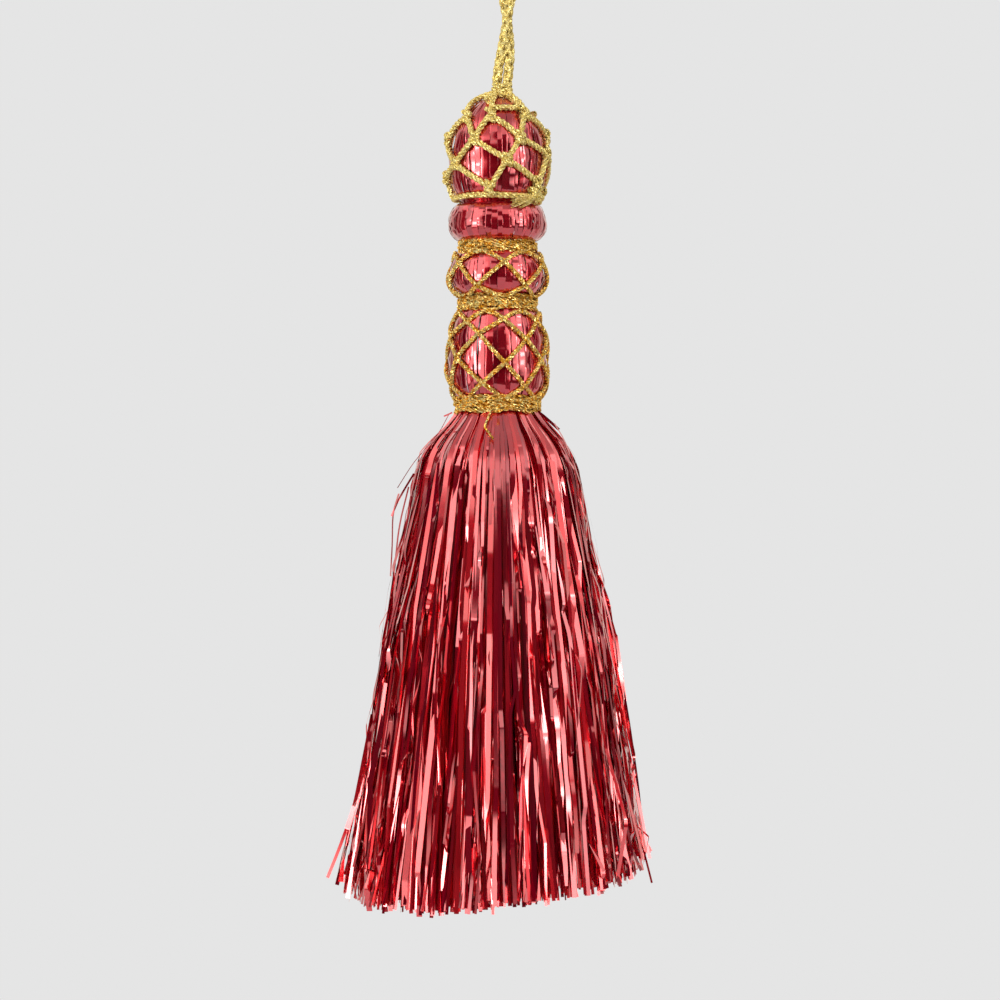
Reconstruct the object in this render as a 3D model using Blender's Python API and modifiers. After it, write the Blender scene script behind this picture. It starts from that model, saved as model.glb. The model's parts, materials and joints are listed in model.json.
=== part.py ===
"""A red tinsel tassel on a gold cord loop, modelled at its real size.

Four foil-wrapped beads stand on each other over a skirt of tinsel. A knotted cord net covers the top bead,
two thin thread nets cover the two lower ones, and wound gold bands fill the grooves between them.
Metres, +Z up. The origin is the point where a hook carries the loop, and the tassel hangs below it.
"""

import math
import random
from collections import namedtuple

import bmesh
import bpy
from mathutils import Matrix, Vector

# ---------------------------------------------------------------- driving sizes
CLEARANCE = 0.0003  # air between two pieces that touch on the real tassel
CROWN_TOP = -0.0650  # the top of the crown bead, below the hanging point
BEAD_STEPS = 28  # sides of a turned bead
BAND_STEPS = 28  # sides of a wound band
NECK_RADIUS = 0.0092  # the narrow part of a bead, inside a band

# Each bead, from its top face down: heights are below the crown's top. The bead swells from its upper neck
# to its full radius at "widest" and comes back to its lower neck at "shoulder".
Bead = namedtuple("Bead", "name top swell widest shoulder bottom top_radius radius bottom_radius fullness")
BEADS = (
    Bead("crown_bead", 0.0000, 0.0000, 0.0204, 0.0312, 0.0312, 0.0030, 0.0143, 0.0094, 0.60),
    Bead("collar_bead", 0.0315, 0.0315, 0.0375, 0.0430, 0.0447, 0.0098, 0.0146, 0.0098, 0.50),
    Bead("waist_bead", 0.0450, 0.0464, 0.0532, 0.0589, 0.0615, 0.0098, 0.0141, 0.0098, 0.50),
    Bead("barrel_bead", 0.0618, 0.0645, 0.0777, 0.0894, 0.0949, 0.0098, 0.0146, 0.0098, 0.50),
)
CROWN, COLLAR, WAIST, BARREL = BEADS

# Each wound band fills the groove between two swellings, from "top" to "bottom" below the crown's top.
Band = namedtuple("Band", "name top bottom radius turns")
BANDS = (
    Band("collar_band", COLLAR.shoulder + CLEARANCE, WAIST.swell - CLEARANCE, 0.0119, 2),
    Band("waist_band", WAIST.shoulder + CLEARANCE, BARREL.swell - CLEARANCE, 0.0121, 3),
    Band("skirt_band", BARREL.shoulder + CLEARANCE, BARREL.bottom, 0.0131, 3),
)

# The crown's net is a lattice of flat straps, as wide as its cord. Each row gives its height below the
# crown's top and where its five knots stand, in degrees round from the front. "parts" says how many
# straight parts follow the bead on each strand to the next row, and "join" how those strands run.
RING_TURN = 20.0  # a ring cord bends this many degrees at a time
STRAP_DIP = 0.0003  # how far the middle of a straight part may come nearer to the bead than its ends
NET_CORD = 0.0019
NET_THICKNESS = 0.0014
KnotRow = namedtuple("KnotRow", "drop angles join parts")
CROWN_ROWS = (
    KnotRow(0.0010, (-60, -14, 52, 122, 200), "straight", 2),
    KnotRow(0.0057, (-54, -11, 48, 121, 202), "diamonds", 3),
    KnotRow(0.0118, (-31, 31, 96, 162, 236), "diamonds", 3),
    KnotRow(0.0190, (-58, 11, 82, 146, 204), "diamonds", 3),
    KnotRow(0.0262, (-8, 61, 124, 180, 245), "straight", 1),
    KnotRow(0.0296, (-8, 61, 124, 180, 245), "end", 0),
)

# The two thread nets repeat the same crossing six times round the bead, with a thread along each band.
NET_REPEATS = 6
NET_THREAD = 0.0010
THREAD_THICKNESS = 0.0006


def repeated(drop, angle, join):
    """A row of crossings, evenly round the bead from this angle."""
    return KnotRow(drop, tuple(angle + 360 / NET_REPEATS * i for i in range(NET_REPEATS)), join, 2)


WAIST_ROWS = (
    repeated(0.0477, 38, "diamonds"),
    repeated(0.0500, 8, "diamonds"),
    repeated(0.0558, 38, "diamonds"),
    repeated(0.0577, 8, "end"),
)
BARREL_ROWS = (
    repeated(0.0656, 8, "diamonds"),
    repeated(0.0720, 38, "diamonds"),
    repeated(0.0790, 8, "diamonds"),
    repeated(0.0861, 38, "diamonds"),
    repeated(0.0879, 8, "end"),
)

# The tie of the net's ring cord: a knot and its short free tail, as angle, drop, radius and thickness.
TiePoint = namedtuple("TiePoint", "angle drop radius thickness")
TIE_POINTS = (
    TiePoint(56, 0.0300, 0.0159, 0.0014),
    TiePoint(51, 0.0298, 0.0163, 0.0021),
    TiePoint(45, 0.0303, 0.0162, 0.0021),
    TiePoint(40, 0.0310, 0.0157, 0.0013),
    TiePoint(33, 0.0318, 0.0156, 0.0012),
    TiePoint(25, 0.0326, 0.0160, 0.0015),
)

# The knot on the crown and the loop that rises from it.
KNOT_TOP = 0.0030  # the knot stands this far above the crown's top
KNOT_WIDTH = 0.0036
KNOT_CENTRE = 0.0010
CORD_DIAMETER = 0.0024
CORD_SPACING = 2.0 * CORD_DIAMETER
CORD_ROUTE = (
    (-0.0005, 0.0000, CROWN_TOP + KNOT_TOP + CLEARANCE),
    (-0.0002, 0.0000, -0.0580),
    (0.0004, 0.0000, -0.0540),
    (0.0014, -0.0004, -0.0490),
    (0.0028, -0.0014, -0.0430),
    (0.0042, -0.0008, -0.0375),
    (0.0060, 0.0000, -0.0310),
    (0.0084, 0.0000, -0.0220),
    (0.0090, 0.0000, -0.0130),
    (0.0068, 0.0000, -0.0042),
    (0.0012, 0.0000, 0.0012),
    (-0.0046, 0.0000, -0.0036),
    (-0.0060, 0.0000, -0.0120),
    (-0.0040, 0.0000, -0.0220),
    (0.0000, 0.0000, -0.0310),
    (0.0019, 0.0008, -0.0375),
    (0.0030, 0.0014, -0.0430),
    (0.0037, 0.0004, -0.0490),
    (0.0036, 0.0000, -0.0540),
    (0.0030, 0.0000, -0.0580),
    (0.0026, 0.0000, CROWN_TOP + KNOT_TOP + CLEARANCE),
)

# The skirt: a bell of tinsel that parts into separate locks on the way down. Drops are below its top.
SKIRT_TOP = BARREL.bottom + CLEARANCE
SkirtSection = namedtuple("SkirtSection", "drop radius")
SKIRT_SECTIONS = (
    SkirtSection(0.000, 0.0122),
    SkirtSection(0.004, 0.0158),
    SkirtSection(0.008, 0.0194),
    SkirtSection(0.014, 0.0231),
    SkirtSection(0.024, 0.0250),
    SkirtSection(0.036, 0.0268),
    SkirtSection(0.056, 0.0308),
    SkirtSection(0.086, 0.0360),
    SkirtSection(0.116, 0.0425),
    SkirtSection(0.140, 0.0484),
    SkirtSection(0.156, 0.0506),
)
COMB_START = 0.036  # the locks are separate from here down
LOCKS_ROUND = 36
SLIT_WIDTH = 0.0004
LOCK_RINGS = (0.0068, 0.0072, 0.0070)  # how thick the outer, middle and inner rings of locks are
LOCK_STATIONS = 3
LOCK_SHRINK = (0.20, 0.38)  # how much narrower a lock's tip is than the bell's flare would make it
LOCK_SWING = 1.2  # how far a lock's tip may lie to either side, in degrees round the skirt
LOCK_LENGTH = 0.147
LOCK_UNEVEN = 0.0036
FRONT_LEFT = -115.0  # the side with the longest locks, in degrees round from +X
LEAN = 0.0045  # the longest side hangs this much lower than the mean

# Colours as linear red, green, blue.
Finish = namedtuple("Finish", "colour roughness metallic")
RED_FOIL = Finish((0.62, 0.03, 0.04), 0.18, 1.0)
TINSEL = Finish((0.55, 0.02, 0.03), 0.22, 1.0)
PALE_GOLD = Finish((0.66, 0.50, 0.16), 0.42, 0.8)
DEEP_GOLD = Finish((0.62, 0.36, 0.05), 0.38, 0.9)


# ---------------------------------------------------------------- scene and helpers
def clear_scene():
    for found in list(bpy.data.objects):
        bpy.data.objects.remove(found, do_unlink=True)


def make_material(name, finish):
    material = bpy.data.materials.new(name)
    material.use_nodes = True
    shader = material.node_tree.nodes["Principled BSDF"]
    shader.inputs["Base Color"].default_value = (*finish.colour, 1.0)
    shader.inputs["Roughness"].default_value = finish.roughness
    shader.inputs["Metallic"].default_value = finish.metallic
    return material


def add_object(name, data, material, collection):
    made = bpy.data.objects.new(name, data)
    collection.objects.link(made)
    data.materials.append(material)
    return made


def mesh_object(name, bm, material, collection, smooth=False):
    bmesh.ops.recalc_face_normals(bm, faces=bm.faces)
    for face in bm.faces:
        face.smooth = smooth
    mesh = bpy.data.meshes.new(name)
    bm.to_mesh(mesh)
    bm.free()
    return add_object(name, mesh, material, collection)


def turned_body(name, profile, steps, material, collection):
    """A turned body. The profile holds (radius, height) points down its outer side."""
    mesh = bpy.data.meshes.new(name)
    corners = [(radius, 0.0, height) for radius, height in profile]
    edges = [(i, i + 1) for i in range(len(corners) - 1)]
    if profile[0][0] > 0.0:
        edges.append((len(corners) - 1, 0))
    mesh.from_pydata(corners, edges, [])
    made = add_object(name, mesh, material, collection)
    screw = made.modifiers.new("Turn", "SCREW")
    screw.axis = "Z"
    screw.steps = steps
    screw.render_steps = steps
    screw.use_merge_vertices = True
    screw.merge_threshold = 0.00001
    screw.use_smooth_shade = True
    return made


def around(radius, degrees, height):
    """A point at this radius, this far round from the front (-Y) towards +X."""
    angle = math.radians(degrees)
    return Vector((radius * math.sin(angle), -radius * math.cos(angle), height))


# ---------------------------------------------------------------- beads and bands
def bead_radius(bead, drop):
    """The bead's radius at a height below the crown's top."""
    if drop <= bead.swell:
        return bead.top_radius
    if drop >= bead.shoulder:
        return bead.bottom_radius
    if drop < bead.widest:
        share = (bead.widest - drop) / (bead.widest - bead.swell)
        return bead.top_radius + (bead.radius - bead.top_radius) * (1.0 - share**2) ** bead.fullness
    share = (drop - bead.widest) / (bead.shoulder - bead.widest)
    return bead.bottom_radius + (bead.radius - bead.bottom_radius) * math.sqrt(1.0 - share**2)


def bead_profile(bead):
    quarter = 5  # points down each half of the swelling
    drops = []
    for i in range(quarter):
        turn = 0.5 * math.pi * i / quarter
        drops.append(bead.widest - (bead.widest - bead.swell) * math.cos(turn))
    for i in range(quarter + 1):
        turn = 0.5 * math.pi * i / quarter
        drops.append(bead.widest + (bead.shoulder - bead.widest) * math.sin(turn))
    profile = [(bead_radius(bead, drop), CROWN_TOP - drop) for drop in drops]
    neck = NECK_RADIUS
    if bead.swell > bead.top:
        profile.insert(0, (neck, CROWN_TOP - bead.swell))
        profile.insert(0, (neck, CROWN_TOP - bead.top))
    if bead.bottom > bead.shoulder:
        profile.append((neck, CROWN_TOP - bead.shoulder))
        profile.append((neck, CROWN_TOP - bead.bottom))
    profile.insert(0, (0.0, profile[0][1]))
    profile.append((0.0, profile[-1][1]))
    return profile


def band_profile(band):
    """A closed section: flat inside, and a rounded turn of thread for each step down its outside."""
    inner = NECK_RADIUS + CLEARANCE
    pitch = (band.bottom - band.top) / band.turns
    bulge = 0.35 * pitch
    profile = []
    for turn in range(band.turns):
        start = band.top + turn * pitch
        profile.append((band.radius - bulge, CROWN_TOP - start))
        profile.append((band.radius, CROWN_TOP - start - 0.3 * pitch))
        profile.append((band.radius, CROWN_TOP - start - 0.7 * pitch))
    profile.append((band.radius - bulge, CROWN_TOP - band.bottom))
    profile.append((inner, CROWN_TOP - band.bottom))
    profile.append((inner, CROWN_TOP - band.top))
    return profile


# ---------------------------------------------------------------- nets
def over_bead(bead, degrees, drop, lift):
    """A point over the bead, lifted along the bead's own slope."""
    step = 0.0002
    steepest = 4.0
    slope = (bead_radius(bead, drop + step) - bead_radius(bead, drop - step)) / (2.0 * step)
    slope = max(-steepest, min(steepest, slope))
    length = math.hypot(1.0, slope)
    return around(bead_radius(bead, drop) + lift / length, degrees, CROWN_TOP - drop + lift * slope / length)


def wrapped(degrees):
    """The same direction between -180 and 180."""
    return (degrees + 180.0) % 360.0 - 180.0


class Net:
    """A net laid out flat: places are (degrees, drop), and strands join them."""

    def __init__(self, rows):
        self.places = []
        self.strands = []
        knots = [[self.knot(angle, row.drop) for angle in row.angles] for row in rows]
        for row, upper, lower in zip(rows, knots, knots[1:]):
            for start, end in self.pairs(row.join, upper, lower):
                self.strand(start, end, row.parts)
        for ring in (knots[0], knots[-1]):
            for start, end in zip(ring, [*ring[1:], ring[0]]):
                self.strand(start, end, round(abs(self.turn(start, end)) / RING_TURN))

    def knot(self, degrees, drop):
        self.places.append((degrees, drop))
        return len(self.places) - 1

    def turn(self, start, end):
        return wrapped(self.places[end][0] - self.places[start][0])

    def pairs(self, join, upper, lower):
        """Each knot with the one below it, or with the nearest ones below on its left and right."""
        if join == "straight":
            return list(zip(upper, lower))
        found = []
        for start in upper:
            turns = {end: self.turn(start, end) for end in lower}
            left = max((end for end in lower if turns[end] < 0.0), key=turns.get)
            right = min((end for end in lower if turns[end] > 0.0), key=turns.get)
            found += [(start, left), (start, right)]
        return found

    def strand(self, start, end, parts):
        degrees, drop = self.places[start]
        turn = self.turn(start, end)
        fall = self.places[end][1] - drop
        last = start
        for i in range(1, parts):
            middle = self.knot(degrees + turn * i / parts, drop + fall * i / parts)
            self.strands.append((last, middle))
            last = middle
        self.strands.append((last, end))

    def cells(self):
        """The openings of the net, each as its corners in order, traced strand by strand."""
        across = 0.00024  # a degree round the bead, roughly, as a length
        around_knot = {}
        for start, end in [*self.strands, *((end, start) for start, end in self.strands)]:
            fall = self.places[end][1] - self.places[start][1]
            direction = math.atan2(fall, self.turn(start, end) * across)
            around_knot.setdefault(start, []).append((direction, end))
        following = {}
        for knot, leaving in around_knot.items():
            ends = [end for _, end in sorted(leaving)]
            for end, after in zip(ends, [*ends[1:], ends[0]]):
                following[(end, knot)] = (knot, after)
        found = []
        while following:
            at = next(iter(following))
            loop = []
            turned_by = 0.0
            while at in following:
                loop.append(at[0])
                turned_by += self.turn(*at)
                at = following.pop(at)
            if abs(turned_by) < 1.0:
                found.append(loop)
        return found


def lay_net(name, bead, rows, width, thickness, material, collection):
    """A net of straps on a bead: its openings are inset by half a strap and removed."""
    net = Net(rows)
    lift = CLEARANCE + STRAP_DIP
    bm = bmesh.new()
    corners = [bm.verts.new(over_bead(bead, degrees, drop, lift)) for degrees, drop in net.places]
    openings = [bm.faces.new([corners[i] for i in cell]) for cell in net.cells()]
    bmesh.ops.recalc_face_normals(bm, faces=bm.faces)
    bmesh.ops.inset_individual(bm, faces=openings, thickness=width / 2.0, use_even_offset=True)
    bmesh.ops.delete(bm, geom=openings, context="FACES")
    for corner in bm.verts:
        degrees = math.degrees(math.atan2(corner.co.x, -corner.co.y))
        corner.co = over_bead(bead, degrees, CROWN_TOP - corner.co.z, lift)
    made = mesh_object(name, bm, material, collection, smooth=True)
    thicken = made.modifiers.new("Thickness", "SOLIDIFY")
    thicken.thickness = thickness
    thicken.offset = 1.0
    return made


def net_tie(material, collection):
    """The knot that closes the net's ring cord, with its short tail."""
    curve = bpy.data.curves.new("net_tie", "CURVE")
    curve.dimensions = "3D"
    curve.bevel_depth = 1.0
    curve.bevel_resolution = 2
    curve.use_fill_caps = True
    spline = curve.splines.new("POLY")
    spline.points.add(len(TIE_POINTS) - 1)
    for point, tie in zip(spline.points, TIE_POINTS):
        point.co = (*around(tie.radius, tie.angle, CROWN_TOP - tie.drop), 1.0)
        point.radius = tie.thickness
    return add_object("net_tie", curve, material, collection)


# ---------------------------------------------------------------- cord and knot
def smooth_route(points, spacing):
    """Evenly spaced points on a Catmull-Rom curve through the given ones."""
    ends = [points[0] * 2.0 - points[1], *points, points[-1] * 2.0 - points[-2]]
    fine = []
    parts = 24
    for i in range(1, len(ends) - 2):
        before, start, end, after = ends[i - 1 : i + 3]
        for step in range(parts):
            t = step / parts
            fine.append(
                0.5 * (2.0 * start + (end - before) * t + (2.0 * before - 5.0 * start + 4.0 * end - after) * t**2
                       + (3.0 * start - before - 3.0 * end + after) * t**3)
            )
    fine.append(points[-1])
    lengths = [0.0]
    for a, b in zip(fine, fine[1:]):
        lengths.append(lengths[-1] + (b - a).length)
    count = round(lengths[-1] / spacing)
    route = []
    at = 0
    for i in range(count + 1):
        wanted = lengths[-1] * i / count
        while at < len(fine) - 2 and lengths[at + 1] < wanted:
            at += 1
        share = (wanted - lengths[at]) / (lengths[at + 1] - lengths[at])
        route.append(fine[at].lerp(fine[at + 1], share))
    return route


def hanging_cord(material, collection):
    route = smooth_route([Vector(point) for point in CORD_ROUTE], CORD_SPACING)
    curve = bpy.data.curves.new("hanging_cord", "CURVE")
    curve.dimensions = "3D"
    curve.bevel_depth = CORD_DIAMETER / 2.0
    curve.bevel_resolution = 2
    curve.use_fill_caps = True
    spline = curve.splines.new("POLY")
    spline.points.add(len(route) - 1)
    for point, place in zip(spline.points, route):
        point.co = (*place, 1.0)
    return add_object("hanging_cord", curve, material, collection)


def crown_knot(material, collection):
    """The squat knot that the loop's two legs come out of."""
    base = CROWN_TOP + CLEARANCE
    height = KNOT_TOP - CLEARANCE
    profile = (
        (0.0, base + height),
        (KNOT_WIDTH - 0.0004, base + height),
        (KNOT_WIDTH, base + 0.75 * height),
        (KNOT_WIDTH, base + 0.45 * height),
        (KNOT_WIDTH - 0.0008, base),
        (0.0, base),
    )
    knot = turned_body("crown_knot", profile, 20, material, collection)
    knot.location = (KNOT_CENTRE, 0.0, 0.0)
    return knot


# ---------------------------------------------------------------- skirt
def bell_radius(drop):
    """The skirt's radius at a height below its top, straight between the named sections."""
    for upper, lower in zip(SKIRT_SECTIONS, SKIRT_SECTIONS[1:]):
        if drop <= lower.drop:
            share = (drop - upper.drop) / (lower.drop - upper.drop)
            return upper.radius + (lower.radius - upper.radius) * share
    return SKIRT_SECTIONS[-1].radius


def lock_length(degrees, chance):
    """How far down a lock reaches: longest at the front left, and uneven like cut tinsel."""
    side = math.cos(math.radians(degrees - FRONT_LEFT))
    return LOCK_LENGTH + LEAN * side + chance.uniform(-LOCK_UNEVEN, LOCK_UNEVEN)


def grow_bell(bm):
    """Extrudes the top disc down, section by section, and returns the face at the lower end."""
    top_height = CROWN_TOP - SKIRT_TOP
    bmesh.ops.create_circle(bm, cap_ends=True, segments=LOCKS_ROUND, radius=SKIRT_SECTIONS[0].radius)
    bmesh.ops.translate(bm, verts=bm.verts, vec=(0.0, 0.0, top_height))
    bm.faces.ensure_lookup_table()
    top = bm.faces[0]
    end = top
    for section in SKIRT_SECTIONS[1:]:
        if section.drop > COMB_START:
            break
        grown = bmesh.ops.extrude_face_region(bm, geom=[end])
        if end is not top:
            bmesh.ops.delete(bm, geom=[end], context="FACES_ONLY")
        end = next(item for item in grown["geom"] if isinstance(item, bmesh.types.BMFace))
        for corner in end.verts:
            flat = Vector((corner.co.x, corner.co.y, 0.0)).normalized() * section.radius
            corner.co = (flat.x, flat.y, top_height - section.drop)
    return end


def lock_roots(bm, end):
    """Parts the lower face into rings of cells, one for each lock, and the core in the middle."""
    rings = []
    for thickness in LOCK_RINGS:
        made = bmesh.ops.inset_region(bm, faces=[end], thickness=thickness, use_even_offset=True)
        rings.append(made["faces"])
    return [*rings, [end]]


def grow_lock(bm, cell, ring_turn, chance):
    """Draws one lock down from its cell, along the bell's flare. It swings round by ring_turn degrees."""
    bmesh.ops.inset_individual(bm, faces=[cell], thickness=SLIT_WIDTH / 2.0, use_even_offset=True)
    start_radius = bell_radius(COMB_START)
    roots = [Vector((corner.co.x, corner.co.y, 0.0)) / start_radius for corner in cell.verts]
    middle = sum(roots, Vector()) / len(roots)
    length = lock_length(math.degrees(math.atan2(middle.y, middle.x)), chance)
    shrink = chance.uniform(*LOCK_SHRINK)
    swing = ring_turn + chance.uniform(-LOCK_SWING, LOCK_SWING)
    end = cell
    for station in range(1, LOCK_STATIONS + 1):
        share = station / LOCK_STATIONS
        drop = COMB_START + (length - COMB_START) * share
        turned = Matrix.Rotation(math.radians(swing) * share, 3, "Z")
        grown = bmesh.ops.extrude_discrete_faces(bm, faces=[end])
        end = grown["faces"][0]
        for corner, root in zip(end.verts, roots):
            place = turned @ root.lerp(middle, shrink * share) * bell_radius(drop)
            corner.co = (place.x, place.y, CROWN_TOP - SKIRT_TOP - drop)


def tinsel_skirt(material, collection):
    bm = bmesh.new()
    chance = random.Random(5)
    half_pitch = 180.0 / LOCKS_ROUND  # so that each ring covers the slits of the ring outside it
    for ring, cells in enumerate(lock_roots(bm, grow_bell(bm))):
        for cell in cells:
            grow_lock(bm, cell, ring * half_pitch, chance)
    return mesh_object("tinsel_skirt", bm, material, collection)


# ---------------------------------------------------------------- the tassel
def main():
    clear_scene()
    collection = bpy.data.collections.new("tinsel_tassel")
    bpy.context.scene.collection.children.link(collection)
    red_foil = make_material("red_foil", RED_FOIL)
    tinsel = make_material("tinsel", TINSEL)
    pale_gold = make_material("pale_gold_cord", PALE_GOLD)
    deep_gold = make_material("deep_gold_thread", DEEP_GOLD)

    for bead in BEADS:
        turned_body(bead.name, bead_profile(bead), BEAD_STEPS, red_foil, collection)
    for band in BANDS:
        turned_body(band.name, band_profile(band), BAND_STEPS, deep_gold, collection)
    lay_net("crown_net", CROWN, CROWN_ROWS, NET_CORD, NET_THICKNESS, pale_gold, collection)
    lay_net("waist_net", WAIST, WAIST_ROWS, NET_THREAD, THREAD_THICKNESS, deep_gold, collection)
    lay_net("barrel_net", BARREL, BARREL_ROWS, NET_THREAD, THREAD_THICKNESS, deep_gold, collection)
    net_tie(pale_gold, collection)
    crown_knot(pale_gold, collection)
    hanging_cord(pale_gold, collection)
    tinsel_skirt(tinsel, collection)


main()
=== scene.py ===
# %% [markdown]
# # A red tinsel tassel, from its cord loop to its cut strips
#
# The tassel is a small tower of foil-wrapped beads over a skirt of tinsel. Gold cord is knotted round the
# top bead, finer gold thread crosses the lower ones, and wound bands hide the joints. Every piece below is
# drawn as its maker lays it: strip by strip and turn by turn. The frame gives each piece's size and place.

# %% Load the frame
import json
import math

import bpy
import numpy as np
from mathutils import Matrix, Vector

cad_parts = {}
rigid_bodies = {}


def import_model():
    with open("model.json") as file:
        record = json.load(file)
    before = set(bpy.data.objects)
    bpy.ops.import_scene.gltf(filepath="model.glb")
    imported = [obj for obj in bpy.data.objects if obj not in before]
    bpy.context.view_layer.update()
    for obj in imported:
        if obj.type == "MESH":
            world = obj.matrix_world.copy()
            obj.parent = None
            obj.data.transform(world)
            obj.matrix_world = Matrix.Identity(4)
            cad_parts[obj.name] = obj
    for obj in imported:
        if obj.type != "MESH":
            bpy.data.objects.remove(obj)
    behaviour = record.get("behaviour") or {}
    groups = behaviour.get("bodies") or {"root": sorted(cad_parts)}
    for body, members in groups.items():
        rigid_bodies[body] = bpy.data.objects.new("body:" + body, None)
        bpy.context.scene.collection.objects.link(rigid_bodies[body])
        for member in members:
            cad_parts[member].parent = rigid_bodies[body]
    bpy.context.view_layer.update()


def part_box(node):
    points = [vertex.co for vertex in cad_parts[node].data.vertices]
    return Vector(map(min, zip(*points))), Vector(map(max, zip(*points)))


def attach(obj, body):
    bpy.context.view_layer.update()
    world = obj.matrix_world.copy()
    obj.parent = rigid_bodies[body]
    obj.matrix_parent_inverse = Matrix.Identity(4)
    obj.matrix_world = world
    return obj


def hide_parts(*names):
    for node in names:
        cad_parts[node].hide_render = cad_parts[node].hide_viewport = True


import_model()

# %% [markdown]
# ## The camera
#
# A long lens from about a metre away, level with the middle of the tassel, keeps its sides parallel. The
# view is tall enough for the whole skirt, and the top of the cord loop goes out of it, as it does where a
# hook holds it.

# %% Place the camera
VIEW_WIDTH = 0.300
VIEW_DISTANCE = 1.05
VIEW_CENTRE = Vector((0.00075, 0.0, -0.18590))
SENSOR_MM = 36.0
FARTHEST_SEEN = 20.0


def new_object(name, data):
    """An object that shows this data, linked into the scene."""
    made = bpy.data.objects.new(name, data)
    bpy.context.scene.collection.objects.link(made)
    return made


lens = bpy.data.cameras.new("long lens")
lens.sensor_width = SENSOR_MM
lens.lens = SENSOR_MM * VIEW_DISTANCE / VIEW_WIDTH
lens.clip_end = FARTHEST_SEEN
camera = new_object("camera", lens)
camera.location = VIEW_CENTRE - Vector((0.0, VIEW_DISTANCE, 0.0))
camera.rotation_euler = (math.radians(90.0), 0.0, 0.0)
bpy.context.scene.camera = camera
print(f"lens of {lens.lens:.0f} mm at {VIEW_DISTANCE} m")

# %% [markdown]
# ## Small helpers
#
# The tassel is made of two kinds of thing: tubes that follow a line, which build every cord and thread, and
# flat ribbons, which build every strip of foil. Both are arrays of points, so numpy works them out for many
# pieces at once, and one function turns the arrays into a mesh.

# %% Turn arrays of points into a mesh
def grid_faces(rows, columns, first, closed):
    """Quads of a grid of points, row by row. A closed grid joins its last column to its first."""
    row = np.arange(rows - 1)[:, None] * columns
    column = np.arange(columns if closed else columns - 1)
    after = (column + 1) % columns
    corners = [row + column, row + after, row + columns + after, row + columns + column]
    return np.stack(corners, axis=-1).reshape(-1, 4) + first


def whole_turn(count):
    """Angles that share a whole turn evenly."""
    return np.linspace(0.0, 2.0 * np.pi, count, endpoint=False)


def round_axis(reach, angle, height):
    """Points this far from the tassel's axis, this angle round from its front, at this height."""
    return np.stack(np.broadcast_arrays(reach * np.sin(angle), -reach * np.cos(angle), height), axis=-1)


class Shape:
    """Collects grids of points, and becomes one mesh object. Each point has a number called outer."""

    def __init__(self):
        self.points = []
        self.faces = []
        self.outer = []
        self.count = 0

    def add(self, grid, closed, outer=None):
        """grid is (rows, columns, 3), and outer is (rows, columns) or, if left out, 1 everywhere."""
        rows, columns, _ = grid.shape
        self.points.append(grid.reshape(-1, 3))
        self.faces.append(grid_faces(rows, columns, self.count, closed))
        self.outer.append(np.ones(rows * columns) if outer is None else outer.ravel())
        self.count += rows * columns

    def piece(self, name, material, slot, node):
        """The mesh object, which stands in for a node of the frame, now hidden, and wears the given material.
        slot is not used.
        """
        points = np.concatenate(self.points).astype(np.float32)
        faces = np.concatenate(self.faces).astype(np.int32)
        mesh = bpy.data.meshes.new(name)
        mesh.vertices.add(len(points))
        mesh.vertices.foreach_set("co", points.ravel())
        mesh.loops.add(faces.size)
        mesh.loops.foreach_set("vertex_index", faces.ravel())
        mesh.polygons.add(len(faces))
        mesh.polygons.foreach_set("loop_start", np.arange(0, faces.size, 4, dtype=np.int32))
        mesh.polygons.foreach_set("use_smooth", np.ones(len(faces), bool))
        mesh.update(calc_edges=True)
        outer = mesh.attributes.new("outer", "FLOAT", "POINT")
        outer.data.foreach_set("value", np.concatenate(self.outer).astype(np.float32))
        mesh.materials.append(material)
        made = new_object(name, mesh)
        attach(made, "root")
        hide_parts(node)
        print(f"{name}: {2 * len(faces)} triangles")
        return made


# %% Sweep a tube along a line
def unit(vectors):
    """The same directions, each one long."""
    return vectors / np.maximum(np.linalg.norm(vectors, axis=-1, keepdims=True), 1e-12)


def side_directions(line):
    """Two directions square to a line at each of its points, carried along it without twisting."""
    along = unit(np.gradient(line, axis=0))
    guess = np.array([0.0, 0.0, 1.0]) if abs(along[0, 2]) < 0.9 else np.array([1.0, 0.0, 0.0])
    first = np.empty_like(line)
    for i, direction in enumerate(along):
        guess = guess - direction * guess.dot(direction)
        guess = guess / np.linalg.norm(guess)
        first[i] = guess
    return first, np.cross(along, first)


def tube(line, radius, sides):
    """A tube round a line, as a grid. radius is one number or one for each point."""
    first, second = side_directions(line)
    turn = whole_turn(sides)[None, :, None]
    reach = np.broadcast_to(radius, len(line))[:, None, None]
    return line[:, None, :] + reach * (np.cos(turn) * first[:, None, :] + np.sin(turn) * second[:, None, :])


# %% Read a smooth line through a few points
CURVE_STEPS = 24  # between one given point and the next


def distance_along(line):
    """How far each point is from the line's start, measured along the line."""
    return np.concatenate([[0.0], np.cumsum(np.linalg.norm(np.diff(line, axis=0), axis=1))])


def smooth_line(points, spacing, closed=False):
    """Evenly spaced points on a Catmull-Rom curve through the given ones."""
    points = np.asarray(points, float)
    if closed:
        ends = np.vstack([points[-1], points, points[:2]])
    else:
        ends = np.vstack([2.0 * points[0] - points[1], points, 2.0 * points[-1] - points[-2]])
    t = np.linspace(0.0, 1.0, CURVE_STEPS, endpoint=False)[:, None]
    fine = []
    for before, start, end, after in zip(ends, ends[1:], ends[2:], ends[3:]):
        square = 2.0 * before - 5.0 * start + 4.0 * end - after
        cube = 3.0 * start - before - 3.0 * end + after
        fine.append(0.5 * (2.0 * start + (end - before) * t + square * t**2 + cube * t**3))
    fine = np.vstack([*fine, points[0] if closed else points[-1]])
    travelled = distance_along(fine)
    wanted = np.linspace(0.0, travelled[-1], max(3, int(round(travelled[-1] / spacing)) + 1))
    return np.stack([np.interp(wanted, travelled, fine[:, axis]) for axis in range(3)], axis=1)


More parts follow.
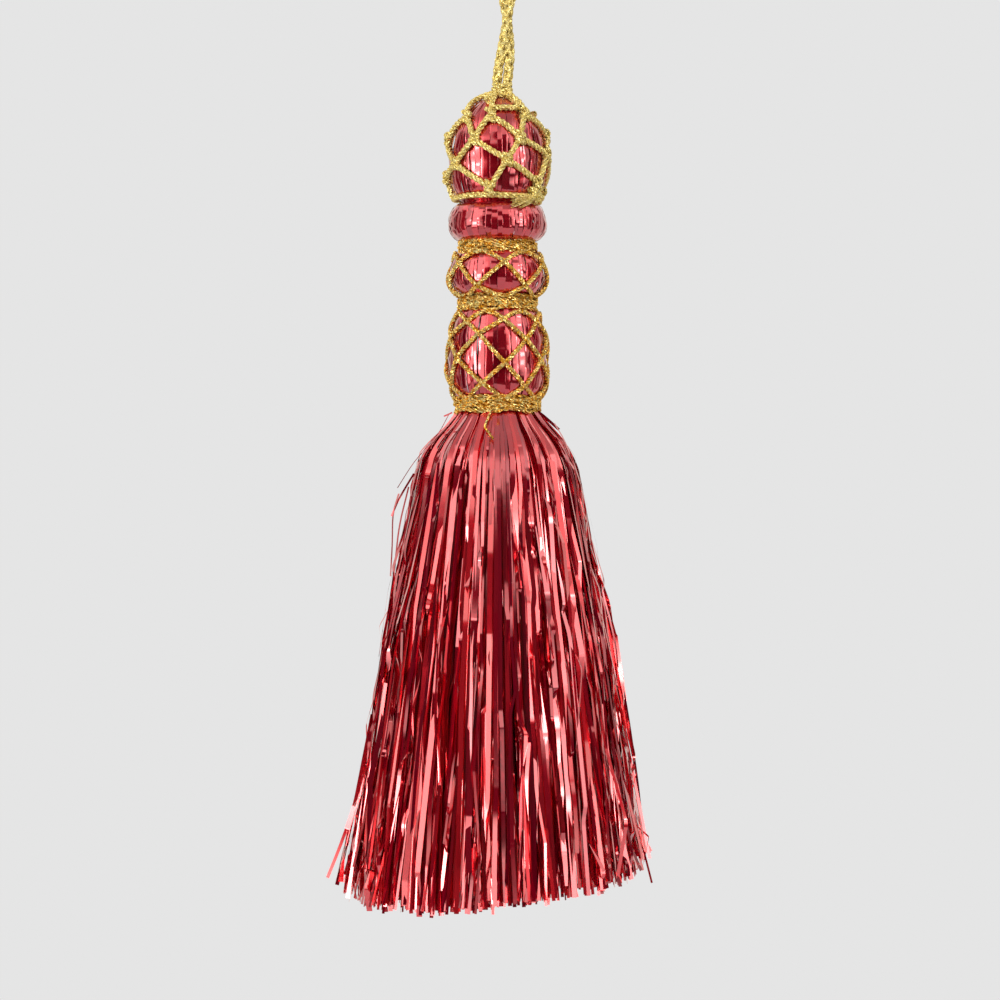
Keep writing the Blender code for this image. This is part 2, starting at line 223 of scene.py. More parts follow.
# %% [markdown]
# ## The studio
#
# Foil has almost no colour of its own: what shows is the room, tinted red. So the room matters more here
# than any lamp. A white tent with lamps behind its walls is drawn as a sky: white above and below, a white
# sheet behind, a dark belt at the height of the tassel, and lit boxes to the left and right, each in a softer
# glow. Each part is laid over the ones before it. Seen directly, the sky is one plain pale grey.

# %% Draw the room as a sky
PALE_GREY = (0.7835, 0.7835, 0.7835, 1.0)
LIGHT_COLOUR = (1.0, 0.955, 0.86, 1.0)
DEGREE = math.pi / 180.0
BRIGHT_BOX = 9.5
# name, centre and half width round from the front, lowest and highest, brightness, softness; all in degrees
ROOM = (
    ("white ceiling", 0, 181, 27, 91, 1.18, 3.0),
    ("dim middle of the ceiling", 0, 181, 50, 91, 0.50, 8.0),
    ("white table", 0, 181, -91, -42, 0.70, 8.0),
    ("dim front of the table", 0, 181, -42, -20, 0.06, 5.0),
    ("white table on the left", -40, 14, -91, -16, 0.65, 4.0),
    ("left of the backdrop", -150, 30, -30, 30, 0.80, 5.0),
    ("right of the backdrop", 150, 30, -30, 30, 0.80, 5.0),
    ("gap behind", 180, 6, -14, 14, 0.10, 2.0),
    ("gap behind left", -136, 3, -16, 16, 0.10, 1.5),
    ("gap behind right", 142, 3, -16, 16, 0.05, 1.5),
    ("wall over the camera", -4, 26, 10, 26, 0.02, 2.5),
    ("left stand", -84, 3, -30, 30, 0.90, 1.5),
    ("far left stand", -106, 3, -30, 30, 0.60, 1.5),
    ("right stand", 76, 2, -30, 30, 1.10, 1.0),
    ("far right stand", 94, 3, -30, 30, 0.75, 1.5),
    ("farthest right stand", 112, 2, -30, 30, 0.60, 1.0),
    ("wide glow of the left box", -56, 22, -20, 46, 2.10, 4.0),
    ("glow of the left box", -56, 13, -9, 12, 3.50, 4.0),
    ("wide glow of the right box", 52, 19, -14, 46, 1.95, 4.0),
    ("glow of the right box", 53, 11, -8, 11, 3.30, 4.0),
    ("left lit box", -53, 10, -3, 8, BRIGHT_BOX, 2.0),
    ("right lit box", 56, 7, -3, 7, 0.8 * BRIGHT_BOX, 2.0),
    ("upper right lit box", 58, 7, 15, 22, 0.9 * BRIGHT_BOX, 2.0),
    ("small lit panel", 38, 10, 10, 21, 2.2, 3.0),
)
DARK_BELT = 0.005


class Nodes:
    """Adds nodes to a tree and links them, so that a formula reads as one line a step."""

    def __init__(self, tree):
        self.tree = tree

    def add(self, kind, **settings):
        node = self.tree.nodes.new(kind)
        for name, value in settings.items():
            setattr(node, name, value)
        return node

    def feed(self, socket, value):
        if isinstance(value, bpy.types.NodeSocket):
            self.tree.links.new(value, socket)
        else:
            socket.default_value = value

    def math(self, operation, *values, kind="ShaderNodeMath", output=0):
        node = self.add(kind, operation=operation)
        for socket, value in zip(node.inputs, values):
            self.feed(socket, value)
        return node.outputs[output]

    def vector(self, operation, *values, output=0):
        return self.math(operation, *values, kind="ShaderNodeVectorMath", output=output)

    def rise(self, value, start, end, low=0.0, high=1.0):
        """low below start, high above end, and a smooth rise between."""
        node = self.add("ShaderNodeMapRange", interpolation_type="SMOOTHSTEP", clamp=True)
        for socket, given in zip(node.inputs, (value, start, end, low, high)):
            self.feed(socket, given)
        return node.outputs["Result"]


def draw_room():
    world = bpy.data.worlds.new("white tent")
    world.use_nodes = True
    bpy.context.scene.world = world
    tree = world.node_tree
    tree.nodes.clear()
    nodes = Nodes(tree)
    direction = nodes.add("ShaderNodeTexCoord").outputs["Generated"]
    split = nodes.add("ShaderNodeSeparateXYZ")
    nodes.feed(split.inputs[0], direction)
    x, y, z = split.outputs
    round_from_front = nodes.math("ARCTAN2", x, nodes.math("MULTIPLY", y, -1.0))
    height = nodes.math("ARCSINE", z)
    level = DARK_BELT
    for _, centre, half, low, high, brightness, soft in ROOM:
        offset = nodes.math("SUBTRACT", round_from_front, centre * DEGREE)
        wrapped = nodes.math("WRAP", offset, math.pi, -math.pi)
        away = nodes.math("ABSOLUTE", wrapped)
        beside = nodes.rise(away, (half - soft) * DEGREE, (half + soft) * DEGREE, 1.0, 0.0)
        above = nodes.rise(height, (low - soft) * DEGREE, (low + soft) * DEGREE)
        below = nodes.rise(height, (high - soft) * DEGREE, (high + soft) * DEGREE, 1.0, 0.0)
        mask = nodes.math("MULTIPLY", nodes.math("MULTIPLY", beside, above), below)
        change = nodes.math("SUBTRACT", brightness, level)
        level = nodes.math("MULTIPLY_ADD", mask, change, level)
    room = nodes.add("ShaderNodeBackground")
    nodes.feed(room.inputs["Strength"], level)
    room.inputs["Color"].default_value = LIGHT_COLOUR
    plain = nodes.add("ShaderNodeBackground")
    plain.inputs["Color"].default_value = PALE_GREY
    chosen = nodes.add("ShaderNodeMixShader")
    nodes.feed(chosen.inputs[0], nodes.add("ShaderNodeLightPath").outputs["Is Camera Ray"])
    nodes.feed(chosen.inputs[1], room.outputs[0])
    nodes.feed(chosen.inputs[2], plain.outputs[0])
    nodes.feed(nodes.add("ShaderNodeOutputWorld").inputs["Surface"], chosen.outputs[0])


draw_room()
bpy.context.scene.view_settings.view_transform = "Standard"
print(f"{len(ROOM)} parts of the room are drawn in the sky")

# %% [markdown]
# ## Two effects that several materials share
#
# Metallic thread glints because it is a flat metal film wrapped round a core: every fraction of a millimetre
# faces another way. One node group gives each small cell its own tilt. Foil is smooth, but it is never quite
# flat, and a second group gives its soft ripples. Both put out a height, which a Bump node in the material
# turns into a slope.

# %% Build the glint and ripple groups
def new_group(name, inputs, outputs):
    group = bpy.data.node_groups.new(name, "ShaderNodeTree")
    for label, kind, value in inputs:
        socket = group.interface.new_socket(name=label, in_out="INPUT", socket_type=kind)
        socket.default_value = value
    for label, kind in outputs:
        group.interface.new_socket(name=label, in_out="OUTPUT", socket_type=kind)
    nodes = Nodes(group)
    return group, nodes, nodes.add("NodeGroupInput").outputs, nodes.add("NodeGroupOutput").inputs


def build_glints():
    """Small cells, each tilted its own way, and a random number for each, which picks its colour between a
    painted dim tone and a painted glint.
    """
    group, nodes, given, result = new_group(
        "metal film glints",
        (("Cells per metre", "NodeSocketFloat", 2600.0), ("Tilt", "NodeSocketFloat", 0.8)),
        (("Height", "NodeSocketFloat"), ("Cell", "NodeSocketFloat")),
    )
    place = nodes.add("ShaderNodeTexCoord").outputs["Object"]
    scaled = nodes.vector("MULTIPLY", place, given["Cells per metre"])
    cells = nodes.add("ShaderNodeTexVoronoi", feature="F1")
    nodes.feed(cells.inputs["Vector"], scaled)
    cells.inputs["Scale"].default_value = 1.0
    within = nodes.vector("SUBTRACT", scaled, cells.outputs["Position"])
    tilt = nodes.vector("SUBTRACT", cells.outputs["Color"], (0.5, 0.5, 0.5))
    slope = nodes.vector("DOT_PRODUCT", within, tilt, output=1)
    height = nodes.math("DIVIDE", nodes.math("MULTIPLY", slope, given["Tilt"]), given["Cells per metre"])
    nodes.feed(result["Height"], height)
    split = nodes.add("ShaderNodeSeparateColor")
    nodes.feed(split.inputs[0], cells.outputs["Color"])
    nodes.feed(result["Cell"], split.outputs[0])
    return group


def build_ripples():
    """Soft ripples, as foil has where it is handled."""
    group, nodes, given, result = new_group(
        "foil ripples",
        (("Ripples per metre", "NodeSocketFloat", 240.0), ("Depth", "NodeSocketFloat", 0.00001)),
        (("Height", "NodeSocketFloat"),),
    )
    place = nodes.add("ShaderNodeTexCoord").outputs["Object"]
    scaled = nodes.vector("MULTIPLY", place, given["Ripples per metre"])
    wave = nodes.add("ShaderNodeTexNoise", noise_dimensions="3D")
    nodes.feed(wave.inputs["Vector"], scaled)
    wave.inputs["Scale"].default_value = 1.0
    wave.inputs["Detail"].default_value = 2.0
    nodes.feed(result["Height"], nodes.math("MULTIPLY", wave.outputs["Fac"], given["Depth"]))
    return group


GLINTS = build_glints()
RIPPLES = build_ripples()
print("groups:", GLINTS.name, "and", RIPPLES.name)

# %% [markdown]
# ## Materials
#
# The red is a lacquer over bright metal film. A metallic base gives the tinted mirror, and a clear coat adds
# the untinted shine that turns the edges pale pink. The two golds differ in hue: the net and the loop are a
# pale greenish gold, the thin thread and the bands a deep orange gold.

# %% Mix the foils and the golds
FOIL_METAL = 0.72
LACQUER_ROUGHNESS = 0.04
THREAD_IOR = 1.55
THREAD_SHINE = (1.0, 0.80, 0.25, 1.0)
# Painted shade: the gold threads are darkened towards the groove colour where the outer number is low,
# between the plies.
PAINTED_GROOVE_SHADE_ENDS = (0.45, 0.86)  # the outer number where a groove is darkest, and where it has ended


def group_node(nodes, group, **values):
    """A shared group, placed in a material with values of its own."""
    node = nodes.add("ShaderNodeGroup", node_tree=group)
    for name, value in values.items():
        node.inputs[name.replace("_", " ")].default_value = value
    return node


def start_material(name):
    material = bpy.data.materials.new(name)
    material.use_nodes = True
    nodes = Nodes(material.node_tree)
    return material, nodes, material.node_tree.nodes["Principled BSDF"]


def between_colours(nodes, share, first, second):
    """A mix of a colour and another colour, or what another node puts out."""
    mix = nodes.add("ShaderNodeMix", data_type="RGBA")
    nodes.feed(mix.inputs[0], share)
    nodes.feed(mix.inputs[6], (*first, 1.0))
    nodes.feed(mix.inputs[7], second if isinstance(second, bpy.types.NodeSocket) else (*second, 1.0))
    return mix.outputs[2]


def bump(nodes, shader, height):
    node = nodes.add("ShaderNodeBump")
    node.inputs["Strength"].default_value = 1.0
    node.inputs["Distance"].default_value = 1.0
    nodes.feed(node.inputs["Height"], height)
    nodes.feed(shader.inputs["Normal"], node.outputs[0])


def foil(name, deep, bright, ripples, depth, roughness, lacquer):
    """Lacquered metal film. Each strip is its own island of the mesh and has its own shade."""
    material, nodes, shader = start_material(name)
    own = nodes.add("ShaderNodeNewGeometry").outputs["Random Per Island"]
    nodes.feed(shader.inputs["Base Color"], between_colours(nodes, own, deep, bright))
    nodes.feed(shader.inputs["Roughness"], nodes.rise(own, 0.0, 1.0, *roughness))
    shader.inputs["Metallic"].default_value = FOIL_METAL
    shader.inputs["Coat Weight"].default_value = 1.0
    shader.inputs["Coat Roughness"].default_value = LACQUER_ROUGHNESS
    shader.inputs["Coat IOR"].default_value = lacquer
    waves = group_node(nodes, RIPPLES, Ripples_per_metre=ripples, Depth=depth)
    bump(nodes, shader, waves.outputs["Height"])
    return material


def gold(name, painted_groove_shade, painted_dim_cell, painted_glint_cell, cells, tilt, roughness, metallic):
    """Metal film on thread: tilted cells that glint, each coloured between a painted dim tone and a painted
    glint, and painted shade in the grooves, darker than all.
    """
    material, nodes, shader = start_material(name)
    glints = group_node(nodes, GLINTS, Cells_per_metre=cells, Tilt=tilt)
    # Painted glints: each cell's colour lies between a painted dim tone and a painted glint, picked by its
    # random number.
    film = between_colours(nodes, glints.outputs["Cell"], painted_dim_cell, painted_glint_cell)
    # The groove colour is painted shade, mixed in where the outer number falls towards the cord's middle.
    outer = nodes.add("ShaderNodeAttribute", attribute_name="outer").outputs["Fac"]
    shaded = between_colours(nodes, nodes.rise(outer, *PAINTED_GROOVE_SHADE_ENDS), painted_groove_shade, film)
    nodes.feed(shader.inputs["Base Color"], shaded)
    shader.inputs["Metallic"].default_value = metallic
    shader.inputs["Roughness"].default_value = roughness
    shader.inputs["IOR"].default_value = THREAD_IOR
    shader.inputs["Specular Tint"].default_value = THREAD_SHINE
    bump(nodes, shader, glints.outputs["Height"])
    return material


BEAD_FOIL = foil("red foil on the beads", deep=(0.40, 0.003, 0.022), bright=(0.74, 0.011, 0.031),
                 ripples=420.0, depth=0.000050, roughness=(0.05, 0.18), lacquer=1.88)
TINSEL_FOIL = foil("red tinsel foil", deep=(0.46, 0.0006, 0.028), bright=(1.00, 0.016, 0.032),
                   ripples=260.0, depth=0.000034, roughness=(0.05, 0.20), lacquer=2.15)
# Painted light in the golds: the groove colours are painted shade between the plies, and the cell colours run
# from a painted dim tone to a painted glint.
PALE_GOLD = gold("pale gold cord", painted_groove_shade=(0.21, 0.115, 0.011), painted_dim_cell=(0.72, 0.52, 0.11),
                 painted_glint_cell=(0.97, 0.85, 0.40), cells=2200.0, tilt=1.4, roughness=0.30, metallic=0.45)
DEEP_GOLD = gold("deep gold thread", painted_groove_shade=(0.66, 0.23, 0.002), painted_dim_cell=(1.0, 0.46, 0.014),
                 painted_glint_cell=(1.0, 0.90, 0.40), cells=1500.0, tilt=3.4, roughness=0.24, metallic=0.58)
print("materials:", BEAD_FOIL.name, TINSEL_FOIL.name, PALE_GOLD.name, DEEP_GOLD.name, sep="\n  ")

# %% [markdown]
# ## The beads
#
# Each bead is wood wrapped in strips of foil that run from pole to pole. A smooth ball would mirror the room
# in one clean picture, and the real ones break it into narrow upright pieces, because every strip lies at a
# slightly different angle. So each strip is drawn as a curved ribbon of its own, a little tilted.

# %% Describe how the beads swell
CROWN_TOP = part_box("crown_bead")[1][2]
SLOPE_STEP = 0.0002
STEEPEST = 1.6


class Bead:
    """A bead's outline, from its box. The shares say where it starts to swell, is widest and ends."""

    def __init__(self, node, swell, widest, shoulder, top_radius, bottom_radius, fullness):
        low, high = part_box(node)
        height = high[2] - low[2]
        self.node = node
        self.radius = (high[0] - low[0]) / 2.0
        self.swell = high[2] - swell * height
        self.widest = high[2] - widest * height
        self.shoulder = high[2] - shoulder * height
        self.top_radius = top_radius
        self.bottom_radius = bottom_radius
        self.fullness = fullness

    def radius_at(self, height):
        height = np.asarray(height, float)
        up = np.clip((height - self.widest) / (self.swell - self.widest), 0.0, 1.0)
        down = np.clip((self.widest - height) / (self.widest - self.shoulder), 0.0, 1.0)
        upper = self.top_radius + (self.radius - self.top_radius) * (1.0 - up**2) ** self.fullness
        lower = self.bottom_radius + (self.radius - self.bottom_radius) * np.sqrt(1.0 - down**2)
        return np.where(height > self.widest, upper, lower)

    def over(self, degrees, drop, lift):
        """Points over the bead at these angles round from the front, lifted along its slope."""
        height = CROWN_TOP - np.asarray(drop, float)
        fall = self.radius_at(height - SLOPE_STEP) - self.radius_at(height + SLOPE_STEP)
        slope = np.clip(fall / (2.0 * SLOPE_STEP), -STEEPEST, STEEPEST)
        length = np.hypot(1.0, slope)
        reach = self.radius_at(height) + lift / length
        return round_axis(reach, np.radians(np.asarray(degrees, float)), height + lift * slope / length)


# node, shares of its height, radii at its top and bottom, and fullness: 0.5 is an ellipse, and more is leaner
CROWN = Bead("crown_bead", 0.00, 0.610, 1.00, 0.0, 0.0108, 0.50)
COLLAR = Bead("collar_bead", 0.045, 0.545, 0.917, 0.0110, 0.0098, 0.50)
WAIST = Bead("waist_bead", 0.09, 0.545, 0.890, 0.0100, 0.0098, 0.50)
BARREL = Bead("barrel_bead", 0.024, 0.571, 0.880, 0.0100, 0.0108, 0.72)
for bead in (CROWN, COLLAR, WAIST, BARREL):
    print(f"{bead.node}: {2000 * bead.radius:.1f} mm across")

# %% Wrap each bead in strips
FOIL_LIFT = 0.00012
EDGE_DIP = 0.00005
FLATNESS = 0.85
NECK = 0.0016
TUCK = 0.0003  # how far a strip's ends reach in under the bands
ROWS = 34
OVERLAP = 0.53  # half a strip's width, as a share of its place
ACROSS = np.array([-1.0, -0.84, -0.3, 0.3, 0.84, 1.0])[None, :]
# a few strips are turned more than the rest: how many of them, and by how many degrees
LOOSE_SHARE, LOOSE_TURN, USUAL_TURN = 0.12, 5.0, 0.8
DENTS = ((7, 0.000050), (10, 0.000100), (17, 0.000060))  # knots along a strip, and size in metres
# waves of the wood's uneven surface: waves round the bead, waves per metre of height, size in metres
UNEVEN = ((3, 70.0, 0.00005), (5, -95.0, 0.00004), (7, 60.0, 0.00003), (9, -130.0, 0.00003))


def wrap_bead(bead, strips, unevenness, seed, lower_neck=NECK):
    """Ribbons from pole to pole, each flat across, a little turned and dented, and dipped along its edges."""
    chance = np.random.default_rng(seed)
    share = 0.5 - 0.5 * np.cos(np.linspace(0.0, np.pi, ROWS))
    heights = bead.swell + (bead.shoulder - bead.swell) * share
    radius = bead.radius_at(heights)
    above = [(bead.swell + NECK, bead.top_radius - TUCK, 0.0)] if bead.top_radius > 0.0 else []
    below = [(bead.shoulder - lower_neck, bead.bottom_radius - TUCK, 1.0)]
    heights, radius, share = np.array([*above, *zip(heights, radius, share), *below]).T
    widths = chance.uniform(0.6, 1.5, strips)
    starts = np.concatenate([[0.0], np.cumsum(widths)]) / widths.sum() * 2.0 * np.pi
    shape = Shape()
    for left, right in zip(starts, starts[1:]):
        middle = (left + right) / 2.0
        half = OVERLAP * (right - left)
        degrees = LOOSE_TURN if chance.uniform() < LOOSE_SHARE else USUAL_TURN
        turned = math.tan(chance.normal(0.0, math.radians(degrees) * unevenness))
        sway = chance.normal(0.0, 0.010) * np.sin(np.pi * share)
        sway = sway + chance.normal(0.0, 0.008) * np.sin(2.0 * np.pi * share)
        dents = np.zeros(len(share))
        for knots, size in DENTS:
            deep = chance.normal(0.0, size * unevenness, knots)
            dents = dents + np.interp(share, np.linspace(0.0, 1.0, knots), deep)
        angle = middle + sway[:, None] + half * ACROSS
        flat = 1.0 + FLATNESS * (np.cos(half) / np.cos(half * ACROSS) - 1.0)
        reach = radius[:, None] * (flat + half * ACROSS * turned) + FOIL_LIFT + dents[:, None]
        for number, (round_it, up_it, size) in enumerate(UNEVEN):
            wave = round_it * angle + 2.0 * np.pi * up_it * heights[:, None] + seed * number
            reach = reach + unevenness * size * np.sin(wave) * np.sin(np.pi * share)[:, None]
        reach = reach - EDGE_DIP * (np.abs(ACROSS) > 0.9)
        shape.add(round_axis(reach, angle, heights[:, None]), closed=False)
    return shape.piece(bead.node.replace("_bead", "_foil"), BEAD_FOIL, "red_foil", bead.node)


# bead, strips round it, how uneven it is, seed
wrap_bead(CROWN, 46, 1.9, 11)
wrap_bead(COLLAR, 50, 1.0, 12)
wrap_bead(WAIST, 48, 1.2, 13)
wrap_bead(BARREL, 46, 1.5, 14, 0.0042)

# %% [markdown]
# ## Cords
#
# A twisted cord is a few plies wound round each other. Each ply is a tube on a helix about the cord's own
# line, so the slanting bands and the grooves between them are really there and catch the light.

# %% Lay plies into a cord
def add_ply(shape, line, helix, ply_radius, reach, sides):
    """One ply as a tube. Its outer number is 1 at the cord's surface and falls towards the cord's middle."""
    grid = tube(helix, ply_radius, sides)
    # The gold materials use this number to paint shade into the grooves between the plies.
    outer = np.linalg.norm(grid - line[:, None, :], axis=2) / reach
    shape.add(grid, closed=True, outer=outer)


def lay_cord(shape, line, thickness, plies=3, pitch=0.0050, sides=8, start=0.0):
    """Adds a twisted cord of this thickness along a line."""
    reach = thickness / 2.0
    ply_radius = reach / (1.0 + 1.0 / math.sin(math.pi / plies)) * (1.08 if plies > 2 else 1.15)
    spread = reach - ply_radius
    first, second = side_directions(line)
    turn = 2.0 * np.pi * distance_along(line) / pitch + start
    for ply in range(plies):
        angle = (turn + 2.0 * np.pi * ply / plies)[:, None]
        helix = line + spread * (np.cos(angle) * first + np.sin(angle) * second)
        add_ply(shape, line, helix, ply_radius, reach, sides)


# %% [markdown]
# ## The hanging loop
#
# The loop is a round braid: two strands wind one way and two the other, and each passes over and under the
# ones it meets. Its two legs cross once above the crown and open into the loop that a hook holds. The route
# is the one that the frame's solid follows.

# %% Braid the loop
CORD_DIAMETER = 0.0024
CORD_START = 0.0033
BRAID_WIDTH = 1.32 * CORD_DIAMETER
BRAID_PITCH = 0.0100
STRAND_SHARE = 0.275  # a strand's radius, as a share of the braid's width
LOOP_STEP = 0.00035
CORD_ROUTE = (
    (-0.0002, 0.0000, CROWN_TOP + CORD_START),
    (0.0001, 0.0000, -0.0580),
    (0.0007, 0.0000, -0.0540),
    (0.0017, -0.0006, -0.0490),
    (0.0028, -0.0014, -0.0430),
    (0.0036, -0.0012, -0.0375),
    (0.0056, 0.0000, -0.0310),
    (0.0084, 0.0000, -0.0220),
    (0.0090, 0.0000, -0.0130),
    (0.0068, 0.0000, -0.0042),
    (0.0012, 0.0000, 0.0012),
    (-0.0046, 0.0000, -0.0036),
    (-0.0060, 0.0000, -0.0120),
    (-0.0040, 0.0000, -0.0220),
    (0.0006, 0.0000, -0.0310),
    (0.0022, 0.0010, -0.0375),
    (0.0030, 0.0014, -0.0430),
    (0.0036, 0.0006, -0.0490),
    (0.0036, 0.0000, -0.0540),
    (0.0032, 0.0000, -0.0580),
    (0.0029, 0.0000, CROWN_TOP + CORD_START),
)


def braid(shape, line, thickness, pitch):
    """A round braid of four strands along a line."""
    first, second = side_directions(line)
    travelled = distance_along(line)
    strand_radius = thickness * STRAND_SHARE
    for strand in range(4):
        way = 1.0 if strand % 2 == 0 else -1.0
        turn = way * 2.0 * np.pi * travelled / pitch + np.pi * (strand // 2)
        turn = turn + (0.5 * np.pi if way < 0 else 0.0)
        weave = way * np.cos(4.0 * np.pi * travelled / pitch + 0.25 * np.pi)
        spread = (thickness * 0.5 - strand_radius) * (0.84 + 0.16 * weave)
        helix = line + spread[:, None] * (np.cos(turn)[:, None] * first + np.sin(turn)[:, None] * second)
        add_ply(shape, line, helix, strand_radius, thickness / 2.0, 8)


loop_line = smooth_line(CORD_ROUTE, LOOP_STEP)
loop_shape = Shape()
braid(loop_shape, loop_line, BRAID_WIDTH, BRAID_PITCH)
hanging_loop = loop_shape.piece("hanging_loop", PALE_GOLD, "pale_gold_cord", "hanging_cord")

# %% [markdown]
# ## The crown's net
#
# A cord net is knotted straight onto the bead: rows of knots, each joined to the two nearest knots of the
# next row. A short table gives where each knot stands. The first ones of each row face the front.

# %% Say where the knots stand
NET_CORD = 0.0019
CORD_STEP = 0.0004  # between the points of a cord's line
# each row from the top: degrees round from the front, and drop below the crown's top in millimetres
KNOT_ROWS = (
    ((-48.0, 7.4), (-10.0, 7.5), (43.0, 6.8), (121, 7.0), (205, 7.0)),
    ((-88.0, 13.0), (-28.0, 14.0), (27.2, 13.7), (92, 12.4), (164, 13.0)),
    ((-55.2, 20.7), (10.8, 20.1), (73, 18.0), (136, 20.0), (214, 20.0)),
    ((-88.0, 24.0), (-8.9, 28.0), (54.8, 26.4), (112, 27.0), (180, 27.0)),
)
RING_DROP = 30.0
BUNCH_TOP = np.array([0.0012, -0.0004, CROWN_TOP + 0.0026])


def nearest_turn(degrees, reference):
    """The same direction, written within half a turn of the reference."""
    return degrees + 360.0 * round((reference - degrees) / 360.0)


def strands_between(upper, lower):
    """Each upper knot with its nearest lower knots on the left and on the right."""
    found = []
    for angle, drop in upper:
        turned = [(nearest_turn(other, angle), fall) for other, fall in lower]
        found.append(((angle, drop), max(place for place in turned if place[0] < angle)))
        found.append(((angle, drop), min(place for place in turned if place[0] > angle)))
    return found


def strand_line(bead, start, end, lift, bow=0.0, spacing=CORD_STEP):
    """A line over the bead from one place to another. bow pushes its middle down the bead, in mm."""
    share = np.linspace(0.0, 1.0, 9)
    degrees = start[0] + (end[0] - start[0]) * share
    drop = start[1] + (end[1] - start[1]) * share + bow * np.sin(np.pi * share)
    return smooth_line(bead.over(degrees, drop / 1000.0, lift), spacing)


print(sum(len(row) for row in KNOT_ROWS), "knots in the crown's net")

# %% Knot the net
KNOT_CORD = 0.00145
KNOT_SLANT = 28.0  # degrees, to one side and the other by turns
KNOT_DEPTH = 0.62  # against its width


def tie_knot(shape, centre, outward, size, turns, seed):
    """A wrapped knot: small turns of cord stacked up the bead, each slanting its own way."""
    chance = np.random.default_rng(seed)
    outward = unit(np.asarray(outward, float))
    side = unit(np.cross(outward, (0.0, 0.0, 1.0)))
    up = np.cross(side, outward)
    circle = whole_turn(14)[:, None]
    for turn in range(turns):
        step = (turn - (turns - 1) / 2.0) * 0.95 * size
        slant = math.tan(math.radians(KNOT_SLANT * (-1) ** turn + chance.uniform(-12.0, 12.0)))
        loop = centre + up * (step + slant * size * np.cos(circle))
        loop = loop + size * (np.cos(circle) * side + KNOT_DEPTH * np.sin(circle) * outward)
        loop = smooth_line(loop, CORD_STEP, closed=True)
        lay_cord(shape, loop, KNOT_CORD, pitch=0.0034, sides=6, start=turn)


net = Shape()
lift = 0.5 * NET_CORD
for upper, lower in zip(KNOT_ROWS, KNOT_ROWS[1:]):
    for number, (start, end) in enumerate(strands_between(upper, lower)):
        bow = -0.9 if upper is KNOT_ROWS[0] else 0.15
        lay_cord(net, strand_line(CROWN, start, end, lift, bow), NET_CORD, start=number)
for number, (angle, drop) in enumerate(KNOT_ROWS[0]):
    away = BUNCH_TOP - (0.0, 0.0, 0.0014) + round_axis(0.0022, math.radians(angle), 0.0)
    outward_by = -30.0 if number == 0 else 0.0  # the first strand swings out over the left shoulder
    turns = angle + outward_by * np.linspace(1.0, 0.0, 5)
    path = CROWN.over(turns, np.linspace(0.0006, drop / 1000.0, 5), lift)
    lay_cord(net, smooth_line(np.vstack([away, path]), CORD_STEP), NET_CORD)
# A second strand runs beside the one on the right, and one crosses level between the two front knots.
beside = CROWN.over([44.0, 45.0, 44.0], [0.0012, 0.0035, 0.0062], 1.6 * lift)
from_bunch = BUNCH_TOP + (0.0020, -0.0012, 0.0)
lay_cord(net, smooth_line(np.vstack([from_bunch, beside]), CORD_STEP), NET_CORD)
lay_cord(net, strand_line(CROWN, (-9.0, 5.0), (38.0, 4.9), lift, bow=-0.1), NET_CORD)
lay_cord(net, strand_line(CROWN, (38.0, 6.6), (92.0, 12.0), lift, bow=-0.9), NET_CORD)
for angle, drop in KNOT_ROWS[-1]:
    lay_cord(net, strand_line(CROWN, (angle, drop), (angle + 1.0, RING_DROP), lift), NET_CORD)
ring_angles = np.linspace(0.0, 360.0, 48, endpoint=False)
ring = CROWN.over(ring_angles, (RING_DROP + 0.12 * np.sin(np.radians(3.0 * ring_angles))) / 1000.0, lift)
lay_cord(net, smooth_line(ring, CORD_STEP, closed=True), NET_CORD, pitch=0.0056)
for number, (angle, drop) in enumerate(sum(KNOT_ROWS, ()), start=1):
    centre = CROWN.over([angle], [drop / 1000.0], lift + 0.0002)[0]
    tie_knot(net, centre, (centre[0], centre[1], 0.0), 0.00125, 3, number)
top_knot = CROWN.over([-20.0], [0.0022], lift)[0]
tie_knot(net, top_knot, (top_knot[0], top_knot[1], 0.008), 0.0011, 2, 30)
net.piece("crown_net_cord", PALE_GOLD, "pale_gold_cord", "crown_net")

# %% [markdown]
# ## The knot on the crown, and the tie with its tail
#
# Where the loop's legs meet the net, a few turns of cord bind them into a bunch. At the net's lower ring the
# cord is tied off, and its frayed end is left: a knot and a short fan of loose filaments.

# %% Bind the bunch and tie the ring
BUNCH_CORD = 0.0016
TIE_DEGREES = 53.0
TAIL_DEGREES = 26.0  # how far the frayed tail reaches to the left
FILAMENTS = 26
FILAMENT_ENDS = (0.00026, 0.00012)  # a filament's radius where it starts and where it ends

bunch = Shape()
circle = whole_turn(24)
for turn in range(3):
    size = 0.0030 - 0.0003 * turn
    middle = BUNCH_TOP + (0.0, 0.0, -0.0020 + 0.0011 * turn)
    slant = 0.0005 * np.sin(circle + turn)
    loop = middle + np.stack([size * np.cos(circle), 0.9 * size * np.sin(circle), slant], axis=1)
    lay_cord(bunch, smooth_line(loop, CORD_STEP, closed=True), BUNCH_CORD)
bunch.piece("crown_knot_cord", PALE_GOLD, "pale_gold_cord", "crown_knot")

